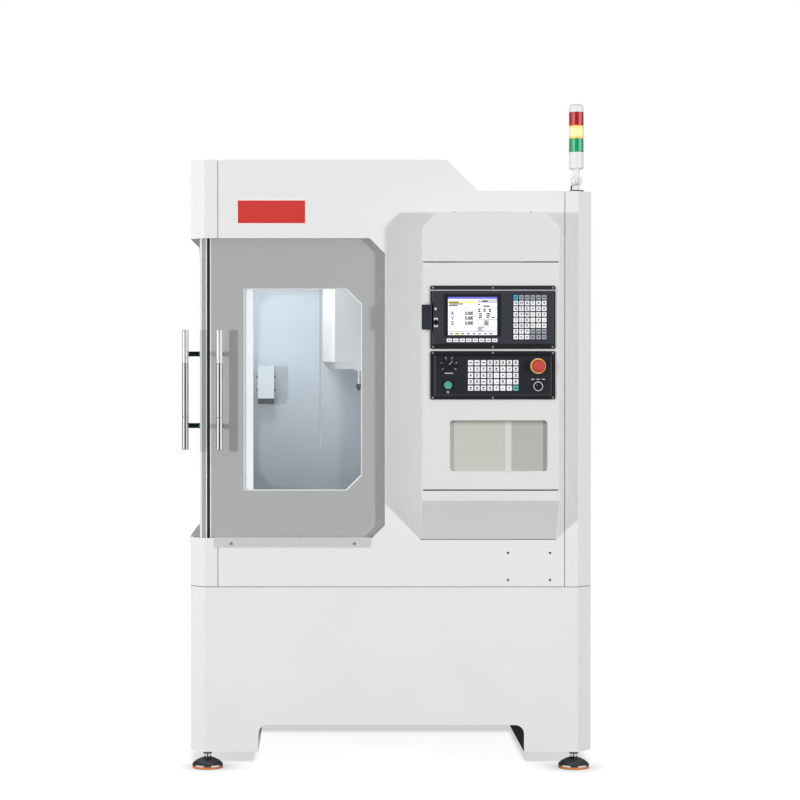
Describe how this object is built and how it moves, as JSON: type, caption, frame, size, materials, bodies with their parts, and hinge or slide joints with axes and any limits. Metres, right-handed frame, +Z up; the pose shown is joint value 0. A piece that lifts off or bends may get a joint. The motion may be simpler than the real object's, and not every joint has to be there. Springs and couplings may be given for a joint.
{
  "type": "cnc milling machine",
  "caption": "Enclosed vertical milling machine with corner sliding doors, side control console, signal tower, moving table and head, on levelling feet",
  "frame": {"origin": "on the floor under the middle of the machine's box, millimetre source, metres here", "axes": "+Z up, the door front faces -Y, the console is towards +X"},
  "size_m": [1.2944, 1.363, 2.099],
  "materials": {
    "white_paint": "white powder coat with fine texture",
    "grey_liner": "blue grey satin paint",
    "door_glass": "grey back-painted safety glass with a clear window",
    "galvanised": "galvanised sheet",
    "polished_steel": "polished stainless steel",
    "ground_steel": "ground steel",
    "cast_grey": "painted grey casting",
    "motor_black": "black motor paint",
    "orange_pad": "orange elastomer",
    "black_rubber": "black rubber",
    "slate_plastic": "dark slate moulded plastic",
    "key_plastic": "light embossed keys",
    "screen_glass": "lit display behind a clear cover",
    "smoked_pane": "smoked plastic pane",
    "yellow_plastic": "yellow plastic",
    "red_plastic": "red plastic",
    "green_plastic": "green plastic",
    "black_plastic": "black plastic",
    "white_plastic": "white plastic",
    "lamp_green": "translucent green lens",
    "lamp_amber": "translucent amber lens, lit",
    "lamp_red": "translucent red lens"
  },
  "bodies": {
    "cabinet": {"base": "white_paint", "corner_posts": "white_paint", "front_panel": "white_paint", "left_panel": "white_paint", "right_panel": "white_paint", "back_panel": "white_paint", "roof": "white_paint", "chamber_liner": "grey_liner", "cover_box": "white_paint", "levelling_feet": "polished_steel", "foot_pads": "orange_pad", "door_tracks": "galvanised", "console_shell": "white_paint", "console_front": "white_paint", "control_units": "slate_plastic", "screen": "screen_glass", "membrane_keys": "key_plastic", "console_pane": "smoked_pane", "stop_ring": "yellow_plastic", "usb_socket": "slate_plastic", "screws": "ground_steel", "tower_post": "white_plastic", "tower_lead": "black_rubber", "bed": "cast_grey", "column": "cast_grey", "guide_rails": "ground_steel", "axis_drives": "motor_black"},
    "front_door": {"front_glass": "door_glass", "front_frame": "white_paint", "front_handle": "polished_steel", "corner_seal": "black_rubber"},
    "side_door": {"side_glass": "door_glass", "side_frame": "white_paint", "side_handle": "polished_steel"},
    "cross_saddle": {"saddle": "cast_grey", "saddle_blocks": "ground_steel", "table_rails": "ground_steel", "x_drive": "motor_black"},
    "work_table": {"table": "ground_steel", "table_blocks": "ground_steel"},
    "spindle_head": {"head": "cast_grey", "head_blocks": "ground_steel", "head_cover": "white_paint", "spindle_sleeve": "ground_steel", "spindle_motor": "motor_black", "coolant_nozzle": "black_plastic"},
    "rotor": {"spindle": "polished_steel"},
    "x_feed": {"x_screw": "ground_steel"},
    "y_feed": {"y_screw": "ground_steel"},
    "z_feed": {"z_screw": "ground_steel"},
    "stop_button": {"stop_head": "red_plastic"},
    "start_key": {"start_button": "green_plastic"},
    "dial": {"override_dial": "black_plastic"},
    "key_core": {"key_barrel": "black_plastic"},
    "port_flap": {"usb_flap": "slate_plastic"},
    "tower": {"tower_arm": "white_plastic", "tower_caps": "white_plastic", "tower_green": "lamp_green", "tower_amber": "lamp_amber", "tower_red": "lamp_red"}
  },
  "joints": [
    {"name": "front_door_slide", "type": "slide", "parent": "cabinet", "child": "front_door", "axis": [1, 0, 0], "range_m": [0, 0.45]},
    {"name": "side_door_slide", "type": "slide", "parent": "cabinet", "child": "side_door", "axis": [0, 1, 0], "range_m": [0, 0.45]},
    {"name": "y_axis", "type": "slide", "parent": "cabinet", "child": "cross_saddle", "axis": [0, 1, 0], "range_m": [-0.1, 0.1]},
    {"name": "x_axis", "type": "slide", "parent": "cross_saddle", "child": "work_table", "axis": [1, 0, 0], "range_m": [-0.15, 0.15]},
    {"name": "z_axis", "type": "slide", "parent": "cabinet", "child": "spindle_head", "axis": [0, 0, 1], "range_m": [-0.22, 0.08]},
    {"name": "spindle_turn", "type": "hinge", "parent": "spindle_head", "child": "rotor", "pos_m": [0.01425, -0.0685, 1.1767], "axis": [0, 0, 1], "continuous": true},
    {"name": "x_screw_turn", "type": "hinge", "parent": "cross_saddle", "child": "x_feed", "pos_m": [0.01425, -0.0685, 0.716], "axis": [1, 0, 0], "continuous": true},
    {"name": "y_screw_turn", "type": "hinge", "parent": "cabinet", "child": "y_feed", "pos_m": [0.01425, -0.0685, 0.645], "axis": [0, 1, 0], "continuous": true},
    {"name": "z_screw_turn", "type": "hinge", "parent": "cabinet", "child": "z_feed", "pos_m": [0.01425, 0.3035, 1.3], "axis": [0, 0, 1], "continuous": true},
    {"name": "stop_push", "type": "slide", "parent": "cabinet", "child": "stop_button", "axis": [0, 1, 0], "range_m": [0, 0.005]},
    {"name": "start_push", "type": "slide", "parent": "cabinet", "child": "start_key", "axis": [0, 1, 0], "range_m": [0, 0.003], "stiffness_N_per_m": 600},
    {"name": "dial_turn", "type": "hinge", "parent": "cabinet", "child": "dial", "pos_m": [0.18775, -0.6435, 1.2765], "axis": [0, -1, 0], "range_deg": [-110, 190]},
    {"name": "key_turn", "type": "hinge", "parent": "cabinet", "child": "key_core", "pos_m": [0.46275, -0.6435, 1.21], "axis": [0, -1, 0], "range_deg": [-90, 0]},
    {"name": "port_flap_swing", "type": "hinge", "parent": "cabinet", "child": "port_flap", "pos_m": [0.13235, -0.646, 1.385], "axis": [0, 0, 1], "range_deg": [0, 180]},
    {"name": "tower_fold", "type": "hinge", "parent": "cabinet", "child": "tower", "pos_m": [0.60025, -0.4685, 1.856], "axis": [-1, 0, 0], "range_deg": [0, 90]}
  ],
  "couplings": [
    {"joint": "x_screw_turn", "follows": "x_axis", "rad_per_m": 628.32},
    {"joint": "y_screw_turn", "follows": "y_axis", "rad_per_m": 628.32},
    {"joint": "z_screw_turn", "follows": "z_axis", "rad_per_m": 628.32}
  ]
}
